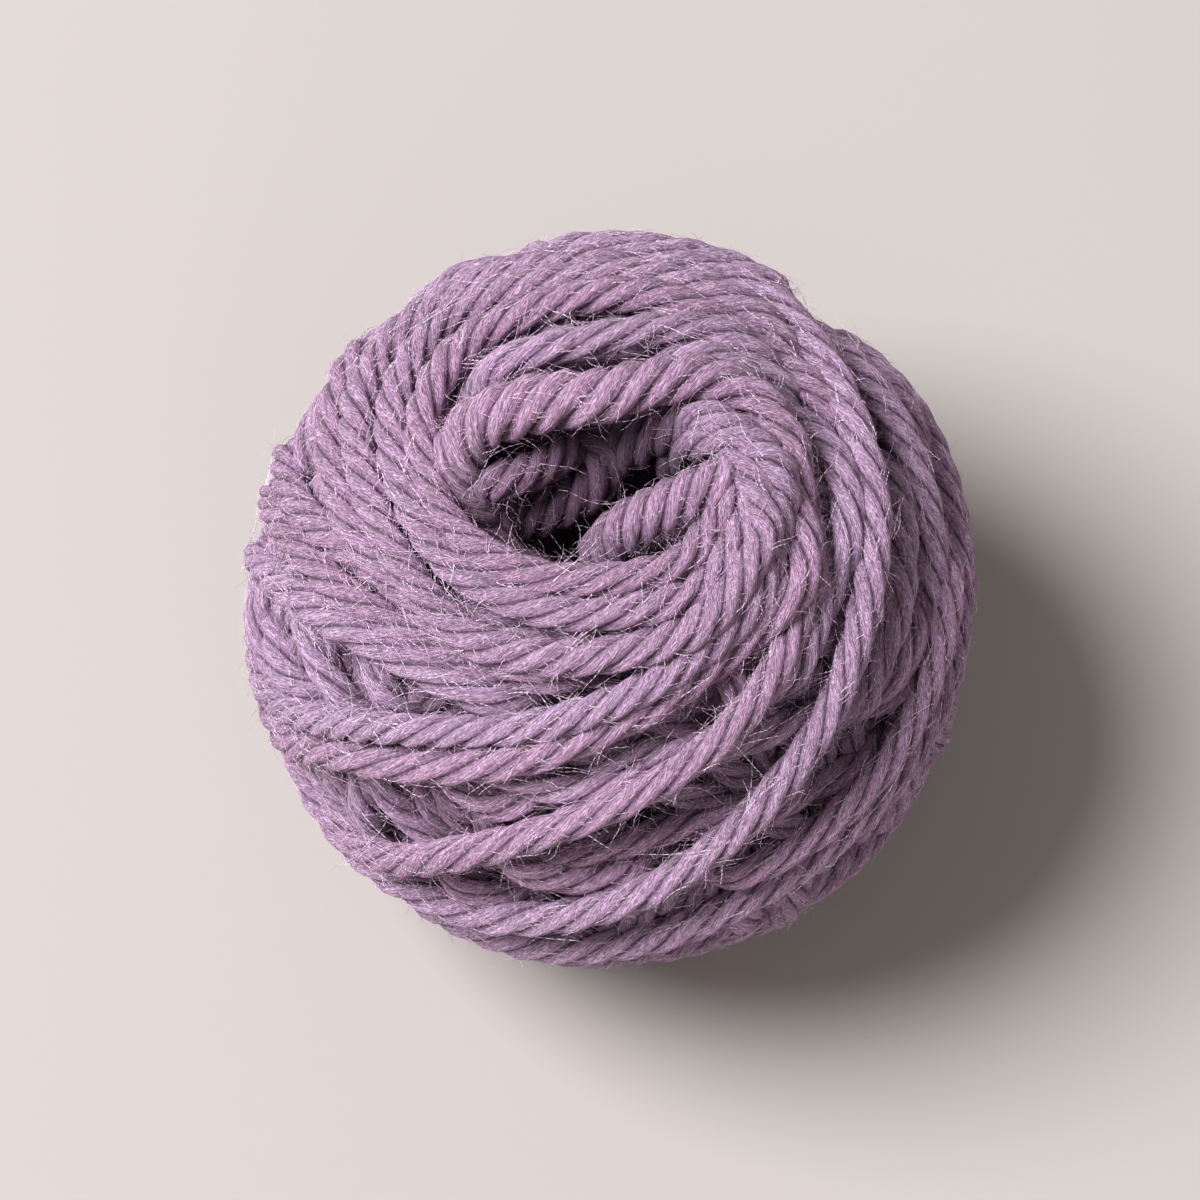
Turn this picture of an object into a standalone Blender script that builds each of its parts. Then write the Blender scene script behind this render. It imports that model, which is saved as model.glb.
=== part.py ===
"""A hand-wound, centre-pull ball of thick four-ply wool yarn.

The ball is one closed solid: its wound outline, the hollow that the pulled-out centre left in the
top, the flat spot it rests on, and the main bands of turns that stand proud of the rest.
Metres, +Z up. The origin is the middle of the flat spot, on the surface the ball rests on.
The front of the ball faces -Y.
"""

import math

import bpy
from mathutils import Vector

# ---------------------------------------------------------------- driving dimensions, in metres
YARN = 0.0043  # diameter of one strand
BALL_RADIUS = 0.0432  # of the wound outline, under the standing bands
WAIST_HEIGHT = 0.0405  # of the ball's middle, above the surface it rests on
BALL_CENTRE = Vector((0.0, 0.0, WAIST_HEIGHT))

# ---------------------------------------------------------------- the hollow in the top
# Each row is an oval level section of the hollow, from the crest of its rim to its floor. at_x and
# at_y place its middle, long and wide are its half length and half width, and turn is how far its
# length lies off +X, in degrees. It starts as a wide oval mouth and closes to a slanting slit. The
# crest has no height of its own, because it lies on the ball's outline.
HOLLOW_COLUMNS = ("height", "at_x", "at_y", "long", "wide", "turn")
HOLLOW = (
    (None, -0.0005, -0.0010, 0.0205, 0.0145, 6),
    (0.0755, -0.0005, -0.0008, 0.0155, 0.0098, 10),
    (0.0690, 0.0003, 0.0015, 0.0120, 0.0064, 26),
    (0.0600, 0.0010, 0.0028, 0.0095, 0.0044, 33),
    (0.0510, 0.0010, 0.0028, 0.0080, 0.0040, 33),
)
RIM_STARTS = 0.30  # how far up from the waist the sections begin to take the crest's oval form

# ---------------------------------------------------------------- the main bands of turns
# A band runs round the ball in a plane. turn and lean give the direction of the plane's axis: turn
# is its compass bearing from +X towards +Y and lean its angle from +Z, in degrees. off is the
# angle from that axis to the band's middle: 90 is a great circle. width and proud are in strands.
BAND_COLUMNS = ("turn", "lean", "off", "width", "proud")
BANDS = (
    (-30, 15, 31, 4.0, 0.55),
    (-169, 31, 76, 3.0, 0.85),
    (156, 34, 111, 3.0, 0.80),
    (144, 43, 84, 3.0, 0.75),
    (129, 38, 70, 3.4, 0.70),
    (148, 8, 35, 3.4, 0.45),
    (35, 40, 76, 3.0, 0.75),
    (70, 51, 88, 3.6, 0.65),
    (-76, 63, 87, 3.0, 0.70),
    (-80, 12, 54, 3.6, 0.60),
    (10, 62, 92, 3.2, 0.70),
    (-130, 66, 96, 3.4, 0.65),
    (-15, 74, 98, 3.2, 0.65),
)
BAND_MERGE = 4  # a high power merges crossing bands at the height of the higher one
FLAT_FADE = 0.012  # the bands sink into the outline over this height above the flat spot
CREST_FADE = 0.14  # and over this share of the way up to the crest

# ---------------------------------------------------------------- mesh
SEGMENTS = 112
LOWER_RINGS = 15  # from the flat spot to the waist
UPPER_RINGS = 15  # from the waist to the crest
RIM_RINGS = 4  # over the crest, down to the mouth
HOLLOW_RINGS = 7  # from the mouth to the floor

WOOL_COLOUR = (0.42, 0.29, 0.41, 1.0)


def smooth_step(x):
    """0 below 0, 1 above 1, and a smooth rise between them."""
    x = min(1.0, max(0.0, x))
    return x * x * (3.0 - 2.0 * x)


def blend(first, last, share):
    """Between two section rows, column by column. A height is taken only where both rows have one."""
    return {
        name: first[name] + (last[name] - first[name]) * share
        for name in HOLLOW_COLUMNS
        if first[name] is not None and last[name] is not None
    }


def section_point(section, bearing):
    """The point of a level oval section at this bearing, in plan."""
    across = bearing - math.radians(section["turn"])
    reach = 1.0 / math.hypot(math.cos(across) / section["long"], math.sin(across) / section["wide"])
    middle = Vector((section["at_x"], section["at_y"], 0.0))
    return middle + Vector((math.cos(bearing), math.sin(bearing), 0.0)) * reach


def band_rise(point):
    """How far the bands stand proud at this point of the outline. Where bands cross, they merge softly."""
    away = (point - BALL_CENTRE).normalized()
    merged = 0.0
    for row in BANDS:
        band = dict(zip(BAND_COLUMNS, row))
        turn, lean = math.radians(band["turn"]), math.radians(band["lean"])
        axis = Vector((math.sin(lean) * math.cos(turn), math.sin(lean) * math.sin(turn), math.cos(lean)))
        aside = abs(away.angle(axis) - math.radians(band["off"])) * BALL_RADIUS
        half = band["width"] * YARN / 2
        if aside < half:
            rise = band["proud"] * YARN * math.cos(math.radians(90.0) * aside / half) ** 2
            merged += rise ** BAND_MERGE
    return merged ** (1.0 / BAND_MERGE)


def raised(point, share):
    """The outline's point lifted by the bands over it, where share of the bands' height is left."""
    return point + (point - BALL_CENTRE).normalized() * band_rise(point) * share


def lower_rings():
    """Rings of the ball's lower half, from the edge of the flat spot up to just under the waist."""
    first = -math.asin(WAIST_HEIGHT / BALL_RADIUS)
    rings = []
    for i in range(LOWER_RINGS):
        angle = first * (1.0 - i / LOWER_RINGS)
        height = WAIST_HEIGHT + BALL_RADIUS * math.sin(angle)
        ring = []
        for j in range(SEGMENTS):
            bearing = math.tau * j / SEGMENTS
            flat = Vector((math.cos(bearing), math.sin(bearing), 0.0)) * BALL_RADIUS * math.cos(angle)
            ring.append(raised(flat + Vector((0.0, 0.0, height)), smooth_step(height / FLAT_FADE)))
        rings.append(ring)
    return rings


def upper_rings(crest):
    """Rings from the waist up to the crest. They turn from round to the crest's oval, on the outline."""
    mean = math.sqrt(crest["long"] * crest["wide"])
    last = math.acos(mean / BALL_RADIUS)
    rings = []
    for i in range(UPPER_RINGS + 1):
        share = i / UPPER_RINGS
        radius = BALL_RADIUS * math.cos(last * share)
        oval = smooth_step((share - RIM_STARTS) / (1.0 - RIM_STARTS))
        section = {
            "at_x": crest["at_x"] * oval,
            "at_y": crest["at_y"] * oval,
            "long": radius * (1.0 + (crest["long"] / mean - 1.0) * oval),
            "wide": radius * (1.0 + (crest["wide"] / mean - 1.0) * oval),
            "turn": crest["turn"],
        }
        ring = []
        for j in range(SEGMENTS):
            point = section_point(section, math.tau * j / SEGMENTS)
            point.z = WAIST_HEIGHT + math.sqrt(max(0.0, BALL_RADIUS ** 2 - point.length_squared))
            ring.append(raised(point, smooth_step((1.0 - share) / CREST_FADE)))
        rings.append(ring)
    return rings


def rim_rings(crest, mouth, crest_ring):
    """Rings that round the rim over, from the crest to the mouth."""
    rings = []
    for i in range(1, RIM_RINGS + 1):
        angle = math.radians(90.0) * i / RIM_RINGS
        section = blend(crest, mouth, math.sin(angle))
        ring = []
        for j in range(SEGMENTS):
            point = section_point(section, math.tau * j / SEGMENTS)
            point.z = mouth["height"] + (crest_ring[j].z - mouth["height"]) * math.cos(angle)
            ring.append(point)
        rings.append(ring)
    return rings


def hollow_rings(sections):
    """Level rings of the hollow, from below its mouth down to its floor."""
    rings = []
    for i in range(1, HOLLOW_RINGS + 1):
        down = (len(sections) - 1) * i / HOLLOW_RINGS
        above = min(int(down), len(sections) - 2)
        section = blend(sections[above], sections[above + 1], down - above)
        height = section["height"]
        ring = []
        for j in range(SEGMENTS):
            ring.append(section_point(section, math.tau * j / SEGMENTS) + Vector((0.0, 0.0, height)))
        rings.append(ring)
    return rings


def wound_ball():
    """The ball as one closed mesh: its rings, closed by the flat spot and by the hollow's floor."""
    crest, *below = [dict(zip(HOLLOW_COLUMNS, row)) for row in HOLLOW]
    upper = upper_rings(crest)
    rings = lower_rings() + upper + rim_rings(crest, below[0], upper[-1]) + hollow_rings(below)
    verts = [point for ring in rings for point in ring]
    faces = [tuple(reversed(range(SEGMENTS)))]
    for i in range(len(rings) - 1):
        for j in range(SEGMENTS):
            a, b = i * SEGMENTS + j, i * SEGMENTS + (j + 1) % SEGMENTS
            faces.append((a, b, b + SEGMENTS, a + SEGMENTS))
    top = (len(rings) - 1) * SEGMENTS
    faces.append(tuple(range(top, top + SEGMENTS)))
    mesh = bpy.data.meshes.new("wound_ball")
    mesh.from_pydata(verts, [], faces)
    mesh.shade_smooth()
    mesh.set_sharp_from_angle(angle=math.radians(50.0))
    return mesh


def wool():
    """Soft, fuzzy, matt wool."""
    material = bpy.data.materials.new("wool")
    material.use_nodes = True
    shader = material.node_tree.nodes["Principled BSDF"]
    shader.inputs["Base Color"].default_value = WOOL_COLOUR
    shader.inputs["Roughness"].default_value = 0.95
    shader.inputs["Metallic"].default_value = 0.0
    shader.inputs["Sheen Weight"].default_value = 0.3
    return material


def main():
    for old in list(bpy.data.objects):
        bpy.data.objects.remove(old)
    ball = bpy.data.objects.new("wound_ball", wound_ball())
    ball.data.materials.append(wool())
    bpy.context.scene.collection.objects.link(ball)


main()
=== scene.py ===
"""The looks of a hand-wound, centre-pull ball of thick four-ply wool yarn.

Every turn that shows is a real strand: four soft plies in an S twist, laid over the turns under it
in the order they were wound. Loose fibres stand off the strands, and a few long pale hairs lie on
top. Lengths inside this file are in millimetres, and the meshes are in metres.
"""

import math

import bpy
import numpy as np
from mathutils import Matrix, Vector


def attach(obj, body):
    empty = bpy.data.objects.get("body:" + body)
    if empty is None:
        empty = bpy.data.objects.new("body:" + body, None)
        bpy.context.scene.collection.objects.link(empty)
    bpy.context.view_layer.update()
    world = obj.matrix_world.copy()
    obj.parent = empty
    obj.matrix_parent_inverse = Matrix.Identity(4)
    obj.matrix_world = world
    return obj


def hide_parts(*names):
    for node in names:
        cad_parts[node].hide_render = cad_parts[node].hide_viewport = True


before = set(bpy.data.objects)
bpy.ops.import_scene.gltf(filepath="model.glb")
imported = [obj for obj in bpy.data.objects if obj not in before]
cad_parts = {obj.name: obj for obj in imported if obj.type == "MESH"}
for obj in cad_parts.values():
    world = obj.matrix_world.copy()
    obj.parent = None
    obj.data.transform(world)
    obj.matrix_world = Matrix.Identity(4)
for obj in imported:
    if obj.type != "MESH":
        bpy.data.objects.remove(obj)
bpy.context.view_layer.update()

MM = 0.001
RANDOM = np.random.default_rng(7)

# ---------------------------------------------------------------- the yarn
YARN = 4.3  # diameter of a strand
HALF = YARN / 2
PLIES = 4
PLY_PITCH = 16.5  # one turn of the plies of a taut strand
LOOSE_PITCH = 14.5  # and of a slack one in the hollow
SLACK_TURNS = 0.9  # the plies of a thicker, slacker strand turn more: by this power of its thickness
LOBE_POINTS = 4  # mesh points round each ply
STEP = 1.1  # mesh step along a strand that shows
DEEP_STEP = 1.6  # and along one that is nearly hidden
DEEP_LOBE_POINTS = 3
PLY_OFFSET = 0.52  # of a ply's middle from the strand's, as a share of the strand's half
PLY_RADIUS = 0.48
ROUGHNESS = 0.012  # unevenness of a strand's surface, as a share of its radius

# ---------------------------------------------------------------- the ball
CENTRE = np.array([0.0, 0.0, 40.5])
CORE_RADIUS = 33.0  # of the core under the turns that can be seen between others, painted dark as shade
RIM_CORE_RADIUS = 38.0  # the same round the hollow's rim
HOLLOW_CORE_DROP = 25.0  # and how much lower it is inside the hollow
CORE_RINGS, CORE_SEGMENTS = 60, 120
OUTER_RADIUS = 43.4  # of the outermost strands' middles
TOP_LEVEL = 43.3  # the radius where a strand likes to lie: on the outside,
BETWEEN_LEVEL = 39.5  # between the ones on the outside,
UNDER_LEVEL = 35.8  # under the open weave round the hollow and the front,
DEEP_LEVEL = 37.0  # and deep in the ball
OPEN_SIDE = np.array([0.0, -0.375, 0.927])  # the middle of the side with the open weave
ROUTE_RADIUS = 43.0
PRESSED = 0.62  # how much of their thickness two strands keep where they cross
SIDE_BY_SIDE = 0.80  # this share of a strand's width apart, they lie beside each other
SELF_GAP = 14  # a strand lies over itself only at points more than this many steps apart
HOLLOW_SHARE = 0.95  # closed turns stop at this share of the way out from the hollow's middle to its rim
FLOOR_GAP = 0.15  # the lowest wool stays this far off the surface the ball rests on
SHADED_RADIUS = 34.5  # painted shade: wool this deep in the ball is painted darkest,
LIT_RADIUS = 42.5  # and from here out it has its full colour, with no painted shade
SETTLE_TURNS = 160  # rounds of settling. In each, strands that are too close
RISE_SHARE, FALL_SHARE = 0.35, 0.45  # part by these shares, the upper one up and the lower one down,
EASE_TURNS = 3  # each strand is eased this many times,
HOME_SHARE = 0.03  # and goes back by this share towards the level that it likes
SINK_LENGTH = 12.0  # the end of a strand sinks among the others over this length
SINK_DEPTH = 9.5

# The hollow: level oval sections, as the frame has them.
HOLLOW_COLUMNS = ("height", "at_x", "at_y", "long", "wide", "turn")
HOLLOW = (
    (79.5, -0.5, -1.0, 18.5, 12.5, 8),
    (75.5, -0.5, -0.8, 15.5, 9.8, 10),
    (69.0, 0.3, 1.5, 12.0, 6.4, 26),
    (60.0, 1.0, 2.8, 9.5, 4.4, 33),
    (51.0, 1.0, 2.8, 8.0, 4.0, 33),
)

# ---------------------------------------------------------------- the turns
# Closed turns under the ones that show: turn and lean give the axis of the plane they lie round, off
# is their angle from it, and count of them lie side by side, in degrees.
TURN_COLUMNS = ("turn", "lean", "off", "count")
DEEP_TURNS = tuple((137 * k % 360, 36 + 8 * (k % 4), 86 + 3 * (k % 3), 2) for k in range(9))
UNDER_TURNS = (
    (20, 44, 86, 2),
    (75, 58, 92, 2),
    (130, 38, 82, 2),
    (185, 52, 90, 2),
    (235, 60, 94, 2),
    (290, 46, 84, 2),
    (340, 56, 88, 2),
    (100, 60, 96, 2),
    (210, 58, 92, 2),
    (320, 62, 94, 2),
)
SIDE_TURNS = (
    (0, 88, 62, 2),
    (180, 84, 66, 2),
    (90, 86, 60, 2),
    (140, 89, 57, 2),
    (40, 88, 58, 2),
    (245, 88, 56, 1),
)
# Turns round the underside.
BOTTOM_TURNS = (
    (30, 18, 122, 3),
    (150, 20, 128, 3),
    (270, 17, 132, 3),
    (90, 14, 146, 2),
    (210, 12, 140, 2),
    (330, 10, 154, 2),
    (0, 4, 162, 2),
)
# Strands that show: (name, thickness, route). A route is (bearing, angle from the top) in degrees.
UNDER_ROUTES = (
    ("under_front_right", 0.95, ((-110, 44), (-94, 52), (-72, 61), (-57, 76), (-50, 92))),
    ("under_front_cross", 1.0, ((-110, 54), (-92, 50), (-68, 50), (-45, 57), (-29, 69), (-13, 81),
        (0, 96))),
    ("under_front_low", 1.0, ((-115, 76), (-94, 70), (-77, 66), (-60, 67), (-45, 74), (-29, 79),
        (-12, 88))),
    ("under_bottom_front", 1.0, ((-122, 70), (-109, 72), (-97, 76), (-85, 74), (-74, 68))),
    ("under_left_steep", 1.0, ((-150, 60), (-142, 71), (-134, 78), (-124, 83), (-108, 90))),
    ("under_left_low", 1.0, ((-158, 76), (-151, 87), (-145, 93), (-138, 100), (-128, 112))),
    ("under_front_left", 0.95, ((-136, 56), (-126, 62), (-113, 63), (-102, 58), (-90, 56))),
    ("under_front_middle", 0.95, ((-134, 58), (-119, 55), (-100, 55), (-82, 52), (-68, 54))),
    ("under_left_1", 1.0, ((-176, 54), (-171, 63), (-160, 66), (-148, 67), (-134, 72))),
    ("under_left_2", 1.0, ((-164, 46), (-153, 51), (-146, 55), (-138, 58), (-128, 64))),
    ("under_left_3", 1.0, ((-192, 78), (-178, 81), (-164, 77), (-151, 72), (-140, 70))),
    ("under_left_front", 1.0, ((-130, 82), (-120, 86), (-113, 87), (-106, 90), (-96, 96))),
    ("under_right_1", 1.0, ((30, 54), (12, 57), (-11, 58), (-33, 62), (-48, 70))),
    ("under_right_2", 1.0, ((46, 62), (30, 66), (11, 69), (-8, 68), (-27, 65), (-42, 68))),
    ("under_hollow_front", 0.95, ((-160, 42), (-148, 36), (-114, 31), (-72, 27), (-45, 26))),
)
RIM_THICKNESS = (1.72, 1.65, 1.1, 1.0, 1.0, 1.0, 1.0, 1.0, 1.0)
FRONT_THICKNESS = (1.35,) + (0.95,) * 11
# Inner ends of some of them, that go down into the hollow, in millimetres.
FAR_WALL = (
    (-3.2, 5.8, 66), (-0.6, 6.2, 69.3), (2.2, 7.0, 71.5), (5.1, 7.6, 73.6), (8, 7.8, 75.8), (11, 7.2, 78.3),
)
INNER_TUCK = ((14.2, -1.6, 79.2), (14.2, 1.4, 77.6), (13, 4, 75), (11.6, 5, 70))
MIDDLE_TUCK = ((16.2, -1.4, 79.2), (16, 1.8, 77.8), (14.6, 5, 75.5), (12.6, 6.4, 70))
INNER_END = ((14.6, 2.6, 79.4), (12, 4.6, 78.3), (9.3, 5.5, 75.8), (7.6, 5.6, 71), (6.4, 5.4, 65))
OVER_ROUTES = (
    ("back_low", 1.0, ((150, 84), (130, 72), (116, 65), (98, 60), (79, 60), (60, 60), (42, 57),
        (22, 58), (3, 63),
        (-14, 72), (-28, 84))),
    ("left_edge", 1.0, ((128, 62), (146, 63), (163, 67), (177, 75), (191, 83), (206, 92), (222, 104))),
    ("left_over_2", 1.0, ((150, 84), (165, 69), (177, 58), (192, 46), (214, 39), (241, 38), (262, 37))),
    ("left_over_3", 1.0, ((156, 92), (168, 76), (180, 62), (196, 51), (219, 43), (247, 40), (266, 38))),
    ("left_over_4", 1.0, ((166, 96), (177, 80), (187, 66), (200, 55), (218, 46), (243, 42), (262, 41))),
    ("left_over_1", 1.0, ((128, 72), (145, 62), (162, 54), (182, 46), (205, 40), (231, 37), (259, 36),
        (275, 35))),
    ("right_inner", 1.0, ((96, 20), (73, 23), (46, 31), (23, 38), (-2, 41), (-25, 42), (-47, 46),
        (-60, 52))),
    ("front_bridge", 0.95, ((104, 16), (75, 18), (39, 27), (9, 33), (-19, 37), (-45, 41), (-67, 47),
        (-87, 54),
        (-104, 63), (-117, 74), (-127, 86), (-140, 98), (-165, 110), (-198, 116), (-236, 110),
        (-270, 98))),
    ("top_bridge", 1.0, ((160, 34), (141, 29), (96, 23), (58, 32), (31, 40), (16, 46))),
    ("rim_and_front", RIM_THICKNESS, ((-157, 28.5), (-172, 28), (-187, 27), (-201, 24), (-213, 19.5),
        (-233, 14.5), (-261, 12.2), (-293, 16), (-311, 22), (-326, 26.5), (-340, 28.5), (-357, 31),
        (-389, 35), (-419, 36), (-447, 41), (-470, 50), (-488, 60), (-503, 72), (-514, 87),
        (-534, 99), (-570, 104),
        (-606, 96), (-636, 84))),
    ("front_upper", FRONT_THICKNESS, ((18, 22), (-5, 27), (-39, 31), (-72, 34), (-101, 41),
        (-122, 49), (-139, 60),
        (-152, 74), (-164, 86), (-186, 96), (-220, 96), (-252, 86), (-276, 74)), FAR_WALL),
    ("inner_spiral", 1.0, ((6, 52), (24, 43), (50, 40), (76, 36), (106, 34), (136, 35), (167, 32),
        (200, 27), (241, 21),
        (295, 19), (325, 19), (343, 19.5)), (), INNER_TUCK),
    ("middle_spiral", 1.0, ((28, 48), (48, 43), (74, 41), (102, 41), (128, 45), (153, 41), (181, 34),
        (214, 29),
        (253, 25), (298, 24), (328, 23), (346, 22)), (), MIDDLE_TUCK),
    ("outer_spiral", (1.0, 1.1), ((46, 60), (67, 52), (90, 48), (112, 50), (133, 54), (154, 50),
        (175, 42), (201, 37),
        (231, 35), (261, 31), (297, 29), (334, 26), (352, 23)), (), INNER_END),
    ("front_low_inner", 0.95, ((-84, 78), (-64, 76), (-48, 75), (-33, 73), (-17, 70), (0, 70),
        (20, 76))),
    ("front_low", 1.0, ((-140, 112), (-118, 108), (-98, 99), (-84, 92), (-69, 85), (-53, 80),
        (-36, 79), (-18, 78),
        (-2, 74), (16, 74), (38, 80), (62, 90))),
    ("outer_wrap", 1.0, ((110, 60), (84, 51), (64, 51), (43, 47), (21, 44), (-3, 45), (-25, 48),
        (-44, 54), (-61, 61),
        (-76, 69), (-90, 78), (-103, 86), (-119, 94), (-140, 102), (-170, 106), (-205, 102))),
)

# Free strands inside the hollow: (name, thickness, points in millimetres).
HOLLOW_STRANDS = (
    ("slit_edge", 1.5, ((15, 3, 74), (14.6, 0.8, 77), (12.5, -1, 79), (10, -2.3, 79.6), (5.5, -4.4, 79),
        (1.5, -6.2, 77.3), (-0.8, -7.8, 74.3), (-1.8, -9.5, 70.5))),
    ("floor_turn", 1.45, ((-16.5, -1.6, 65), (-12.5, -0.4, 66), (-8.4, 0.6, 66.6), (-4.6, 1.8, 67.8),
        (-1.9, 3.4, 69),
        (-1.0, 5.8, 70.2), (-2.2, 8, 71), (-4.5, 10.5, 71))),
    ("left_wall", 1.25, ((-3, 9, 70.5), (-4.8, 6.9, 71.6), (-6.9, 4.6, 73), (-9.9, 2.4, 74),
        (-12.9, 1.2, 74.6),
        (-15.3, 0.6, 74.4), (-16.2, -1.0, 73.2), (-15.4, -2.9, 71), (-14, -4.4, 67))),
)
WALL_TOP = 71.5  # the coil that lines the hollow under its rim
WALL_TURNS = 6
WALL_PITCH = 3.7
WALL_POINTS = 60  # in each of its turns
WALL_OUT = 2.8  # how far out from the hollow's sections it lies, and how much it sways and bobs
WALL_SWAY = 0.4
WALL_BOB = 0.7

# ---------------------------------------------------------------- the loose fibres
FUZZ_COUNT = 75000
FUZZ_PIECES = 3
FUZZ_POINTS = 7
FUZZ_HALF_WIDTH = 0.072
LYING_SHARE = 0.70  # of the fibres lie close, and the rest stand off
COVER_CELL = 1.3  # degrees: cells of the ball where only the outermost wool bears fibres
COVER_DEPTH = 2.2  # and how far under it they still grow
ROOT_DEPTH = 0.15  # a fibre starts this far under the wool's surface
LEAST_STAND, STAND_SPREAD = 0.10, 0.22  # how steeply fibres leave it
LONGEST_FIBRE = 9.0
GUARD_HAIRS = 22
HAIR_POINTS = 14
HAIR_HALF_WIDTH = 0.10
HAIRS_FROM = 15  # they grow above this height


# ================================================================ small helpers
def unit(vectors):
    """The same vectors at length 1."""
    return vectors / np.linalg.norm(vectors, axis=-1, keepdims=True)


def direction(bearing, polar):
    """The direction at this bearing from +X and this angle from +Z, in degrees."""
    bearing, polar = np.radians(bearing), np.radians(polar)
    level = np.sin(polar)
    return np.stack([level * np.cos(bearing), level * np.sin(bearing), np.cos(polar)], axis=-1)


def curve_through(points, per_span=16):
    """A smooth open curve through the points."""
    points = np.asarray(points, float)
    ends = np.vstack([2 * points[0] - points[1], points, 2 * points[-1] - points[-2]])
    t = np.linspace(0, 1, per_span, endpoint=False)[:, None]
    spans = []
    for a, b, c, d in zip(ends, ends[1:], ends[2:], ends[3:]):
        square = (2 * a - 5 * b + 4 * c - d) * t**2
        cube = (3 * b - a - 3 * c + d) * t**3
        spans.append(0.5 * (2 * b + (c - a) * t + square + cube))
    spans.append(points[-1:])
    return np.vstack(spans)


def evenly(points, step):
    """The same line, with its points one step apart."""
    along = np.concatenate([[0.0], np.cumsum(np.linalg.norm(np.diff(points, axis=0), axis=1))])
    count = max(4, int(round(along[-1] / step)) + 1)
    at = np.linspace(0, along[-1], count)
    return np.stack([np.interp(at, along, points[:, k]) for k in range(3)], axis=1)


def waver(count, step, length, height):
    """A slow seeded waver along a strand: about one swing in each length."""
    knots = max(4, int(count * step / length) + 3)
    values = RANDOM.normal(0, height, knots)
    at = np.linspace(0, knots - 1, count)
    low = np.clip(at.astype(int), 0, knots - 2)
    share = at - low
    share = share * share * (3 - 2 * share)
    return values[low] * (1 - share) + values[low + 1] * share


def smooth_step(x):
    """0 below 0, 1 above 1, and a smooth rise between them."""
    x = np.clip(x, 0, 1)
    return x * x * (3 - 2 * x)


# ================================================================ the wound form
def hollow_section(height):
    """The hollow's section at this height, column by column."""
    rows = np.array(HOLLOW)[::-1]
    return {name: np.interp(height, rows[:, 0], rows[:, k]) for k, name in enumerate(HOLLOW_COLUMNS)}


def mouth_measure(directions):
    """How far out from the hollow's middle a direction lies: 1 on the rim."""
    mouth = hollow_section(HOLLOW[0][0])
    up = np.maximum(directions[:, 2], 1e-3)
    x = directions[:, 0] / up * (mouth["height"] - CENTRE[2]) - mouth["at_x"]
    y = directions[:, 1] / up * (mouth["height"] - CENTRE[2]) - mouth["at_y"]
    turn = math.radians(mouth["turn"])
    along = (x * math.cos(turn) + y * math.sin(turn)) / mouth["long"]
    across = (y * math.cos(turn) - x * math.sin(turn)) / mouth["wide"]
    measure = np.hypot(along, across)
    return np.where(directions[:, 2] > 0.2, measure, 9.0)


def core_radius(directions):
    """The radius of the dark core: higher round the hollow's rim, and low in the hollow itself."""
    measure = mouth_measure(directions)
    rim = 1 - smooth_step((measure - 1.5) / 1.2)
    radius = CORE_RADIUS + (RIM_CORE_RADIUS - CORE_RADIUS) * rim
    inside = 1 - smooth_step((measure - 1.20) / 0.30)
    return radius - inside * HOLLOW_CORE_DROP


def height_limit(directions, half):
    """How far out a strand's middle can lie: on the ball's outline, and off the surface it rests on."""
    down = np.maximum(-directions[:, 2], 1e-3)
    flat = (CENTRE[2] - half * 0.9) / down
    return np.minimum(OUTER_RADIUS + HALF - half, flat)


def close_pairs(ways, half, owner):
    """Pairs of strand points that lie over one another, upper one first, and how far apart they stay."""
    uppers, lowers, gaps = [], [], []
    reach = 2 * half.max() / ROUTE_RADIUS
    limit = math.cos(reach * 0.92)
    light = ways.astype(np.float32)
    for start in range(0, len(ways), 1000):
        rows = slice(start, start + 1000)
        upper, lower = np.nonzero(light[rows] @ light.T > limit)
        upper += start
        keep = (owner[upper] > owner[lower]) | ((owner[upper] == owner[lower]) & (upper > lower + SELF_GAP))
        upper, lower = upper[keep], lower[keep]
        apart = np.linalg.norm(ways[upper] - ways[lower], axis=1) * ROUTE_RADIUS / SIDE_BY_SIDE
        both = half[upper] + half[lower]
        keep = apart < both
        uppers.append(upper[keep])
        lowers.append(lower[keep])
        gaps.append(PRESSED * np.sqrt(both[keep] ** 2 - apart[keep] ** 2))
    return np.concatenate(uppers), np.concatenate(lowers), np.concatenate(gaps)


def join_ends(strand):
    """Carries a settled strand on along its free ends."""
    points, half = strand["points"], strand["half"]
    if len(strand["head"]):
        lead = curve_through(np.vstack([strand["head"], points[4:9:4]]))
        points = np.vstack([lead, points[9:]])
        half = np.concatenate([np.full(len(lead), half[0]), half[9:]])
    if len(strand["tail"]):
        lead = curve_through(np.vstack([points[-9:-4:4], strand["tail"]]))
        points = np.vstack([points[:-9], lead])
        half = np.concatenate([half[:-9], np.full(len(lead), half[-1])])
    even = evenly(points, strand["step"])
    along = np.concatenate([[0.0], np.cumsum(np.linalg.norm(np.diff(points, axis=0), axis=1))])
    strand["half"] = np.interp(np.linspace(0, along[-1], len(even)), along, half)
    strand["points"] = even


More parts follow.
